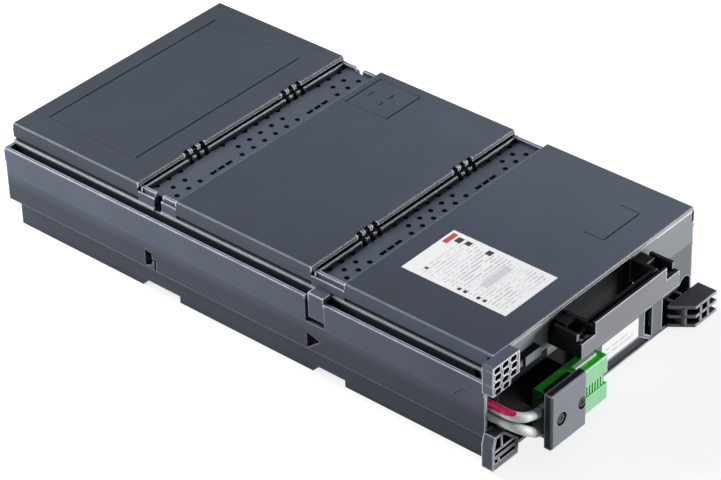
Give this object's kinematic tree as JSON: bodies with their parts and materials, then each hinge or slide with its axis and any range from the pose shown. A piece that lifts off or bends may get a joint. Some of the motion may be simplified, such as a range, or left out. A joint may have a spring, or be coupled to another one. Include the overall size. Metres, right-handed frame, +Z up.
{
  "type": "ups battery cartridge",
  "caption": "Long flat black battery cartridge with raised lids, perforated vent strips, side rails, a fixed pull handle, corner bumpers and a green two-pole plug at the front.",
  "frame": {"origin": "centre of the tray underside, in the plane the cartridge rests on", "axes": "+Z up, -Y towards the end with the handle and the connector, +X to the right when seen from behind that end looking at +Z up and +Y away; the connector is on the -X side"},
  "size_m": [0.234, 0.4664, 0.0857],
  "materials": {
    "shell_plastic": "finely textured moulded plastic",
    "lid_plastic": "finely textured moulded plastic, satin",
    "block_case": "plain moulded battery case",
    "tinned_tab": "tinned brass tab",
    "sleeve_plastic": "insulated push-on sleeve",
    "foam": "closed cell foam pad",
    "lead_white": "flexible insulation, slight sheen",
    "link_jacket": "flexible insulation",
    "connector_green": "satin moulded plastic",
    "contact_metal": "silver plated copper",
    "cover_plastic": "fine textured plastic",
    "screw_black": "black oxide steel",
    "handle_plastic": "satin moulded plastic",
    "screw_steel": "bright zinc steel",
    "label_paper": "satin printed film"
  },
  "bodies": {
    "root": {"base_tray": "shell_plastic", "top_frame": "shell_plastic", "rear_lid": "lid_plastic", "middle_lid": "lid_plastic", "front_lid": "lid_plastic", "block_rear_left": "block_case", "block_rear_right": "block_case", "block_middle_left": "block_case", "block_middle_right": "block_case", "block_front_left": "block_case", "block_front_right": "block_case", "terminal_tabs": "tinned_tab", "tab_sleeves": "sleeve_plastic", "foam_pads": "foam", "positive_lead": "lead_white", "negative_lead": "lead_white", "link_leads": "link_jacket", "connector_housing": "connector_green", "connector_contacts": "contact_metal", "cover_plate": "cover_plastic", "cover_screws": "screw_black", "pull_handle": "handle_plastic", "handle_screws": "screw_steel", "main_label": "label_paper", "front_label": "label_paper"}
  },
  "joints": []
}
